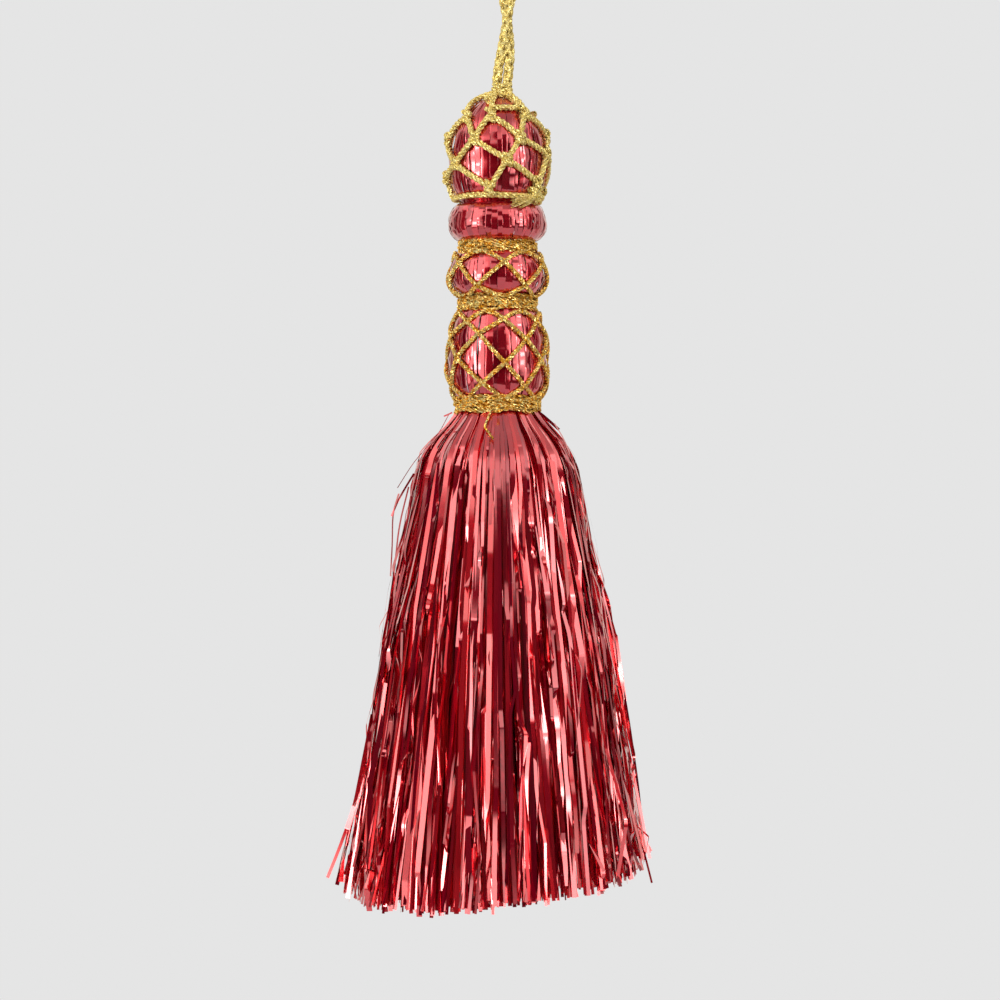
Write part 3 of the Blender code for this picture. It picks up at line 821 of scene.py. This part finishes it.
tie = Shape()
tie_centre = CROWN.over([TIE_DEGREES], [0.0297], 0.0016)[0]
outward = np.array([tie_centre[0], tie_centre[1], 0.0])
side = unit(np.cross(outward, (0.0, 0.0, 1.0)))
for number, shift in enumerate((-0.0010, 0.0, 0.0011)):
    centre = tie_centre + side * shift + np.array([0.0, 0.0, 0.0006 * (number % 2)])
    tie_knot(tie, centre, outward, 0.0012, 3, 40 + number)
chance = np.random.default_rng(7)
for _ in range(FILAMENTS):
    spread = chance.normal(0.0, 0.0007, 3)
    end_angle = TIE_DEGREES - TAIL_DEGREES + chance.normal(0.0, 6.0)
    end = CROWN.over([end_angle], [0.0306 + 0.0006 * chance.uniform(-1.0, 1.0)], 0.0034)[0] + spread
    middle = (tie_centre + end) / 2.0 + unit(outward) * 0.0010 + 0.4 * spread
    line = smooth_line([tie_centre, middle, end], 0.0005)
    tie.add(tube(line, np.linspace(*FILAMENT_ENDS, len(line)), 5), closed=True)
tie.piece("net_tie_cord", PALE_GOLD, "pale_gold_cord", "net_tie")

# %% [markdown]
# ## Thread nets and wound bands
#
# The deep gold thread is thin, and crosses the two lower beads in six-fold diamonds. The bands are the same
# thread, wound many times in the grooves, slightly out of step from turn to turn.

# %% Cross the threads over the lower beads
THREAD = 0.00145
THREAD_STEP = 0.0003
# each row from the top: degrees round from the front, and drop below the crown's top in millimetres
WAIST_CROSSINGS = (
    ((-24, 47.4), (36, 47.6), (96, 47.4), (156, 47.5), (216, 47.4), (276, 47.5)),
    ((-53, 50.2), (8.5, 50.4), (69, 50.3), (128, 50.4), (188, 50.2), (248, 50.4)),
    ((-25.5, 57.1), (35.5, 57.2), (96, 57.2), (156, 57.0), (216, 57.2), (276, 57.1)),
    ((-53, 60.2), (8, 60.2), (68, 60.2), (128, 60.2), (188, 60.2), (248, 60.2)),
)
BARREL_CROSSINGS = (
    ((-17, 65.2), (34, 65.2), (85, 65.2), (136, 65.2), (187, 65.2), (238, 65.2), (290, 65.2)),
    ((-42, 68.0), (8, 67.4), (58.8, 67.9), (110.6, 68.0), (162.5, 67.8), (214.3, 68.0), (266.2, 67.9)),
    ((-22.2, 71.5), (35.5, 73.4), (85.9, 72.0), (136.3, 72.4), (186.7, 72.0), (237, 72.6), (287.4, 72.0)),
    ((-52.2, 78.4), (8.2, 80.4), (57.8, 79.4), (107.8, 79.0), (157.8, 79.6), (207.8, 79.0), (257.8, 79.6)),
    ((-17.8, 86.1), (34.0, 87.2), (83.9, 86.2), (135.5, 86.4), (187.2, 86.0), (238.9, 86.4), (290.5, 86.2)),
    ((-44, 90.6), (8, 90.6), (58, 90.6), (109, 90.6), (161, 90.6), (213, 90.6), (265, 90.6)),
)


def thread_net(node, bead, rows):
    """Threads between the crossings of each row and the nearest ones of the next."""
    shape = Shape()
    for upper, lower in zip(rows, rows[1:]):
        for number, (start, end) in enumerate(strands_between(upper, lower)):
            bow = -0.55 if upper is rows[0] else 0.0
            lift = (0.45 + 0.12 * (number % 2)) * THREAD
            line = strand_line(bead, start, end, lift, bow, THREAD_STEP)
            lay_cord(shape, line, THREAD, pitch=0.0036, sides=6, start=number)
    return shape.piece(f"{node}_thread", DEEP_GOLD, "deep_gold_thread", node)


thread_net("waist_net", WAIST, WAIST_CROSSINGS)
thread_net("barrel_net", BARREL, BARREL_CROSSINGS)

# %% Wind the bands
BAND_THREAD = 0.00095
BAND_POINTS = 72
ANY_TURN = 6.3  # radians, just over a whole turn


def wander(chance, circle, size, waves):
    """Small random waves round a band."""
    return sum(chance.normal(0.0, size) * np.sin(n * circle + chance.uniform(0.0, ANY_TURN)) for n in waves)


def wind_band(node, above, below, turns, seed, ends, wave):
    """Turns of thread in a groove, and over them looser turns that slant a little up and down."""
    low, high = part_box(node)
    top, bottom, radius = high[2] + above, low[2] - below, (high[0] - low[0]) / 2.0
    chance = np.random.default_rng(seed)
    shape = Shape()
    circle = whole_turn(BAND_POINTS)
    middle = (top + bottom) / 2.0
    room = (top - bottom) / 2.0 - 0.5 * BAND_THREAD
    edge = wave * np.cos(5.0 * circle + 0.5 * np.pi)

    def height_at(level):
        return middle + room * level - edge * (0.5 - 0.5 * level)

    def lay_turn(away, height):
        line = smooth_line(round_axis(away, circle, height), CORD_STEP, closed=True)
        start = chance.uniform(0.0, ANY_TURN)
        lay_cord(shape, line, BAND_THREAD, plies=2, pitch=0.0044, sides=5, start=start)

    for turn in range(2 * turns):
        level = 1.0 - 2.0 * (turn % turns + 0.5) / turns
        away = radius - (1.7 if turn < turns else 0.9) * BAND_THREAD + wander(chance, circle, 0.00006, (2, 5))
        lay_turn(away, height_at(level) + wander(chance, circle, 0.00016, (1, 2, 3)))
    for _ in range(turns + 1):
        start_level = chance.uniform(-0.8, 0.8)
        slant = 0.55 * np.sin(circle * chance.integers(1, 5) + chance.uniform(0.0, ANY_TURN))
        level = np.clip(start_level + slant, -1.0, 1.0)
        away = radius - 0.35 * BAND_THREAD + wander(chance, circle, 0.00010, (3, 7))
        lay_turn(away, height_at(level))
    for end in ends:
        lay_cord(shape, smooth_line(end, THREAD_STEP), 0.0008, plies=2, pitch=0.0026, sides=5)
    return shape.piece(f"{node}_thread", DEEP_GOLD, "deep_gold_thread", node)


# the end of the skirt's band hangs loose at the front
LOOSE_END = ((-0.0016, -0.0131, -0.1585), (-0.0026, -0.0142, -0.1612), (-0.0036, -0.0168, -0.1642),
             (-0.0024, -0.0192, -0.1662), (-0.0013, -0.0207, -0.1679))
# node, how far it is let out above and below, turns, seed, loose ends, and how far its lower edge waves
BANDS = (
    ("collar_band", 0.0002, 0.0019, 6, 21, (), 0.0),
    ("waist_band", 0.0003, 0.0004, 7, 22, (), 0.0),
    ("skirt_band", 0.0002, 0.0002, 7, 23, (LOOSE_END,), 0.0007),
)
for node, above, below, turns, seed, ends, wave in BANDS:
    wind_band(node, above, below, turns, seed, ends, wave)

# %% [markdown]
# ## The tinsel skirt
#
# The skirt is cut from narrow foil strips, bound together under the lowest band. They leave it in flat locks
# that lie like tiles, and lower down each strip goes its own way: it twists, bends and crosses its
# neighbours. A ribbon is two rows of points, one on each side of its middle line, so a few numbers for each
# strip give the whole skirt.

# %% Describe the skirt's outline
SKIRT_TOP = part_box("tinsel_skirt")[1][2] + 0.0006
# how far below its top, and the radius there, in millimetres
OUTLINE = ((0, 12.2), (4, 15.2), (8, 18.8), (14, 22.3), (20, 24.2), (26, 25.4), (38, 27.4), (50, 29.8),
           (62, 32.2), (80, 35.2), (92, 37.0), (104, 38.8), (116, 40.6), (128, 42.5), (140, 44.3),
           (150, 45.5))


def bell(drop):
    """The skirt's outer radius, smooth between the named heights."""
    heights, radii = (np.array(column, float) / 1000.0 for column in zip(*OUTLINE))
    slopes = np.gradient(radii, heights)
    index = np.clip(np.searchsorted(heights, drop) - 1, 0, len(heights) - 2)
    width = heights[index + 1] - heights[index]
    t = np.clip((drop - heights[index]) / width, 0.0, 1.2)
    return (radii[index] * (1 + 2 * t) * (1 - t) ** 2 + slopes[index] * width * t * (1 - t) ** 2
            + radii[index + 1] * t**2 * (3 - 2 * t) + slopes[index + 1] * width * t**2 * (t - 1))


def hang_length(angle):
    """How far the strips reach: lowest at the front left, shortest at the right."""
    turned = angle + math.radians(40.0)
    cut_short = 0.0045 * np.clip(np.cos(angle - math.radians(98.0)), 0.0, 1.0) ** 8
    return 0.1412 + 0.0035 * np.cos(turned) + 0.0015 * np.cos(2.0 * turned) - cut_short


print(f"the strips at the front are {1000 * hang_length(0.0):.0f} mm long")

# %% Crease and twist a strip
SHOULDER_ROWS = 10
KINK_STEPS = np.array([-0.5, -1.0 / 6.0, 1.0 / 6.0, 0.5])  # the rows of a bend, as shares of its length
TURN_STEPS = np.array([0.0, 0.26, 0.74, 1.0])  # how far the strip has turned at those rows


def free_share(drop):
    """0 where the binding holds a strip, rising to 1 where it hangs free."""
    return 0.12 + 0.88 * np.clip((drop - 0.010) / 0.050, 0.0, 1.0) ** 0.8


def place_on_bell(drop, turn, layer, offset):
    """Points of strips at these drops and turns, on a layer of the bell."""
    neck, hem = layer
    share = neck + (hem - neck) * np.clip(drop / 0.060, 0.0, 1.0)
    reach = bell(drop) * share + offset
    return round_axis(reach, turn, SKIRT_TOP - drop)


def across_strip(along, facing, roll):
    """The direction across a strip that runs along, faces outward at this turn and is rolled by an angle."""
    outward = np.stack([np.sin(facing), -np.cos(facing), np.zeros_like(facing)], axis=-1)
    flat = unit(np.cross(along, outward))
    normal = np.cross(flat, along)
    return np.cos(roll)[..., None] * flat + np.sin(roll)[..., None] * normal


def kink_rows(chance, start, end, kinks, sharpest, softest):
    """Places of a strip's bends between two drops, and how long each bend is."""
    steps = np.cumsum(chance.gamma(1.5, 1.0, kinks + 1) + 0.15)
    places = start + (end - start) * steps[:-1] / steps[-1]
    gaps = np.diff(np.concatenate([[start], places, [end]]))
    lengths = 10.0 ** chance.uniform(sharpest, softest, kinks)
    return places, np.minimum(lengths, 0.85 * np.minimum(gaps[:-1], gaps[1:]))


def bent(rows, nodes, values, places, lengths):
    """Straight between the nodes, and rounded over each bend's length."""
    value = np.interp(rows, nodes, values)
    before = np.interp(places - 0.5 * lengths, nodes, values)
    corner = np.interp(places, nodes, values)
    after = np.interp(places + 0.5 * lengths, nodes, values)
    for share, side in ((1.0 / 3.0, 1), (2.0 / 3.0, 2)):
        rounded = (1 - share) ** 2 * before + 2 * share * (1 - share) * corner + share**2 * after
        value[SHOULDER_ROWS + side:SHOULDER_ROWS + side + 4 * len(places):4] = rounded
    return value


def roll_rows(chance, runs, twisted):
    """How far a strip is rolled at its rows: a slow drift along each straight run, a jump at each bend."""
    if twisted:
        jumps = chance.normal(0.0, 0.9, runs)
        drift = chance.normal(0.0, 0.5, runs)
    else:
        jumps = chance.normal(0.0, 1.0, runs) * np.where(chance.uniform(size=runs) < 0.3, 0.30, 0.08)
        drift = chance.normal(0.0, 0.07, runs)
    begins = np.cumsum(jumps) + np.concatenate([[0.0], np.cumsum(drift[:-1])])
    begins = begins * (1.0 if twisted else 0.6)
    begins[0] = 0.0
    ends = begins + drift
    turns = ends[:-1, None] + (begins[1:, None] - ends[:-1, None]) * TURN_STEPS
    return np.concatenate([np.linspace(0.0, ends[0] * 0.3, SHOULDER_ROWS), turns.ravel(), [ends[-1]]])


def add_ribbon(shape, line, across):
    """A strip of foil: one row of points on each side of its middle line."""
    shape.add(np.stack([line - across, line + across], axis=1), closed=False)


# %% Hang a layer of strips
STRIP_WIDTH = 0.00160
CUT_SHARE, CUT_BY = 0.06, (0.003, 0.020)  # a few strips are short by so much
CALM_SHARE, CALM, LIVELY = 0.55, 0.5, 1.3  # over half of the strips bend and roll less than the rest
LEAST_BENDS, MOST_BENDS = 3, 7
BENDS_FROM = (0.010, 0.024)  # how far down a strip may start to bend
SWINGING_SHARE, SWING, USUAL_SWING = 0.2, 0.095, 0.030  # how far its tip swings round the skirt


def hang_strips(shape, chance, locks, per_lock, layer, looseness, twisted_share):
    """A layer of strips, each held flat at its shoulder and bent and rolled a few times below it."""
    pitch = 2.0 * np.pi / locks
    lock_turn = (np.arange(locks) + 0.5 + chance.uniform(-0.25, 0.25, locks)) * pitch
    lock_facing = lock_turn + chance.normal(0.0, 0.16, locks)
    lock_rise = chance.normal(0.0, 0.0007, locks)
    for lock in range(locks):
        for place in np.linspace(-0.5, 0.5, per_lock):
            within = place + chance.normal(0.0, 0.12)
            turn = lock_turn[lock] + within * pitch * 1.08
            length = hang_length(turn) + chance.normal(0.0, 0.0007) - abs(chance.normal(0.0, 0.0016))
            if chance.uniform() < CUT_SHARE:
                length -= chance.uniform(*CUT_BY)
            twisted = chance.uniform() < twisted_share
            temper = looseness * (CALM if chance.uniform() < CALM_SHARE else LIVELY)
            kinks = chance.integers(LEAST_BENDS, MOST_BENDS + 1)
            bend_end = chance.uniform(*BENDS_FROM)
            places, lengths = kink_rows(chance, bend_end, length, kinks, -3.2, -1.8 if twisted else -2.1)
            drop = np.concatenate([np.linspace(0.0, bend_end, SHOULDER_ROWS),
                                   (places[:, None] + lengths[:, None] * KINK_STEPS).ravel(), [length]])
            free = free_share(drop)
            # where the middle line runs
            nodes = np.concatenate([[0.0, bend_end], places, [length]])
            loose = temper * free_share(nodes)
            bends = loose * chance.normal(0.0, 0.0012, len(nodes)) * (nodes > 0.0)
            bends[1] = chance.normal(0.0, 0.0006)
            side = loose * chance.normal(0.0, 0.010, len(nodes)) * (nodes > 0.0)
            depth = (chance.normal(0.0, 0.0005) + lock_rise[lock]) * np.clip(drop / 0.012, 0.0, 1.0)
            curl = -0.0011 * (2.0 * within) ** 2 * (1.0 - free)
            offset = bent(drop, nodes, bends, places, lengths) + depth + curl
            swing = chance.normal(0.0, SWING if chance.uniform() < SWINGING_SHARE else USUAL_SWING)
            sway = looseness * swing * (drop / length) ** 2
            angle = turn + bent(drop, nodes, side, places, lengths) + sway
            line = place_on_bell(drop, angle, layer, offset)
            # which way the strip faces
            roll = roll_rows(chance, kinks + 1, twisted)
            held = np.clip(1.0 - (drop - 0.008) / 0.045, 0.0, 1.0)
            own = chance.normal(0.0, 0.28) * (free + (1.0 - free) * (0.12 + 1.1 * math.sin(turn) ** 2))
            facing = held * lock_facing[lock] + (1.0 - held) * angle + own
            along = unit(np.gradient(line, drop, axis=0))
            half = 0.5 * STRIP_WIDTH * chance.uniform(0.45, 1.22)
            add_ribbon(shape, line, half * across_strip(along, facing, temper * free * roll))


# %% Lay the strips that stray
# half a strip's width in millimetres, the degrees it faces, then points of its middle in millimetres
STRAYS = (
    (0.22, 60, (-14.5, -9.0, -160.5), (-17.9, -7.0, -166.4), (-24.8, -5.0, -174.5),
     (-29.9, -4.0, -182.3)),
    (0.30, -20, (-25.0, -3.0, -178.0), (-29.3, -3.0, -185.3), (-31.7, -3.0, -190.7)),
    (0.55, -62, (-29.5, -3.0, -184.0), (-31.2, -3.0, -190.1), (-31.5, -3.0, -199.4),
     (-32.0, -3.0, -208.7)),
    (0.40, -50, (-26.5, -6.0, -182.0), (-29.3, -5.0, -194.0), (-31.0, -4.0, -208.0), (-34.5, -3.0, -232.0)),
    (0.55, 70, (17.0, -6.0, -163.0), (20.8, -6.0, -170.0), (25.4, -5.0, -183.5), (28.2, -5.0, -201.8),
     (31.0, -5.0, -215.6), (33.3, -5.0, -232.0)),
    (0.25, 20, (30.5, -4.0, -209.6), (35.0, -3.0, -227.6), (36.0, -3.0, -236.0)),
    (0.35, 10, (31.0, 0.0, -210.0), (34.4, 0.0, -227.9), (38.3, 0.0, -245.9), (41.9, 0.0, -269.9),
     (43.1, 0.0, -281.9), (44.3, 0.0, -293.9)),
    (0.45, 18, (38.0, -4.0, -255.0), (41.6, -4.0, -272.9), (45.5, -4.0, -293.0)),
    (0.80, 27, (30.6, -20.5, -246.0), (32.4, -22.2, -262.0), (34.7, -22.2, -275.0), (35.9, -22.4, -283.0),
     (39.4, -20.5, -297.5)),
    (0.55, -34, (-33.0, -16.0, -240.0), (-36.0, -16.0, -262.0), (-38.4, -17.0, -280.0),
     (-40.2, -16.0, -303.0)),
    (0.75, -25, (9.0, -38.5, -256.0), (8.2, -40.5, -270.0), (8.6, -42.0, -292.0)),
    (0.30, 0, (38.5, 2.0, -262.0), (40.5, 2.0, -277.0), (46.4, 2.0, -301.0)),
    (0.50, -15, (-37.5, -3.0, -250.0), (-42.4, -2.0, -275.0), (-46.2, -2.0, -287.0),
     (-50.9, -2.0, -299.0)),
    (0.60, -4, (-39.0, 1.0, -258.0), (-43.6, 1.0, -281.0), (-48.2, 1.0, -301.5)),
    (0.42, -4, (12.0, -4.0, -159.4), (14.4, -4.0, -161.3), (18.4, -4.0, -164.9)),
    (0.22, 4, (-13.5, -6.0, -159.8), (-14.8, -5.5, -160.4), (-16.0, -5.0, -160.9)),
)


def lay_strays(shape):
    for number, (half, faces, *places) in enumerate(STRAYS):
        line = smooth_line(np.array(places) / 1000.0, 0.0022)
        along = unit(np.gradient(line, axis=0))
        roll = 0.10 * np.sin(np.linspace(0.0, 2.5, len(line)) + 1.7 * number)
        facing = np.full(len(line), math.radians(faces))
        add_ribbon(shape, line, half / 1000.0 * across_strip(along, facing, roll))


print(len(STRAYS), "strips stray")

# %% Hang the skirt
LAYERS = (
    # piece, locks, strips in each, shares of the outline at neck and hem, looseness, twisted share, seed
    ("tinsel_outside", 27, 14, (1.00, 1.00), 1.0, 0.16, 31),
    ("tinsel_outside", 26, 13, (0.96, 0.96), 1.1, 0.22, 32),
    ("tinsel_inside", 24, 12, (0.91, 0.90), 1.2, 0.25, 33),
    ("tinsel_inside", 22, 11, (0.83, 0.82), 1.3, 0.25, 34),
    ("tinsel_inside", 18, 10, (0.72, 0.70), 1.4, 0.20, 35),
    ("tinsel_inside", 14, 9, (0.56, 0.52), 1.5, 0.20, 36),
    ("tinsel_inside", 8, 8, (0.34, 0.30), 1.5, 0.20, 37),
)
for piece in ("tinsel_outside", "tinsel_inside"):
    skirt = Shape()
    for name, locks, per_lock, layer, looseness, twisted_share, seed in LAYERS:
        if name == piece:
            hang_strips(skirt, np.random.default_rng(seed), locks, per_lock, layer, looseness, twisted_share)
    if piece == "tinsel_outside":
        lay_strays(skirt)
    skirt.piece(piece, TINSEL_FOIL, "tinsel", "tinsel_skirt")

# %% [markdown]
# ## A lamp for the thread
#
# Metal thread glitters because a small lamp is mirrored in thousands of tiny facets. The foil should still
# mirror only the soft room, so this lamp is linked to the gold pieces alone.

# %% Light the gold thread
LAMP_WATTS = 3.8
LAMP_WIDTH = 0.14
LAMP_PLACE = Vector((-0.45, -0.85, 0.25))
LAMP_AIM = Vector((0.0, 0.0, -0.12))
LAMP_COLOUR = (1.0, 0.95, 0.86)

lamp_data = bpy.data.lights.new("thread lamp", "AREA")
lamp_data.energy = LAMP_WATTS
lamp_data.size = LAMP_WIDTH
lamp_data.color = LAMP_COLOUR
lamp = new_object("thread lamp", lamp_data)
lamp.location = LAMP_PLACE
lamp.rotation_euler = (LAMP_AIM - LAMP_PLACE).to_track_quat("-Z", "Y").to_euler()
gold_pieces = bpy.data.collections.new("gold pieces")
for obj in bpy.data.objects:
    if obj.type == "MESH" and obj.data.materials[:1] in ([PALE_GOLD], [DEEP_GOLD]):
        gold_pieces.objects.link(obj)
lamp.light_linking.receiver_collection = gold_pieces

# %% [markdown]
# ## The floor
#
# A small pale disc under the tassel, out of the main view, so that the other views have ground to stand on.

# %% Lay the floor
FLOOR_RADII = (0.001, 0.55)
FLOOR_HEIGHT = -0.42
FLOOR_SIDES = 96
FLOOR_COLOUR = (0.77, 0.80, 0.86, 1.0)
FLOOR_ROUGHNESS = 0.9

circle = whole_turn(FLOOR_SIDES) + 0.5 * np.pi
floor_points = np.concatenate([round_axis(radius, circle, FLOOR_HEIGHT) for radius in FLOOR_RADII])
floor_mesh = bpy.data.meshes.new("floor")
floor_mesh.from_pydata(floor_points.tolist(), [], grid_faces(2, FLOOR_SIDES, 0, True).tolist())
floor = new_object("floor", floor_mesh)
floor_material, _, floor_shader = start_material("pale floor")
floor_shader.inputs["Base Color"].default_value = FLOOR_COLOUR
floor_shader.inputs["Roughness"].default_value = FLOOR_ROUGHNESS
floor_mesh.materials.append(floor_material)
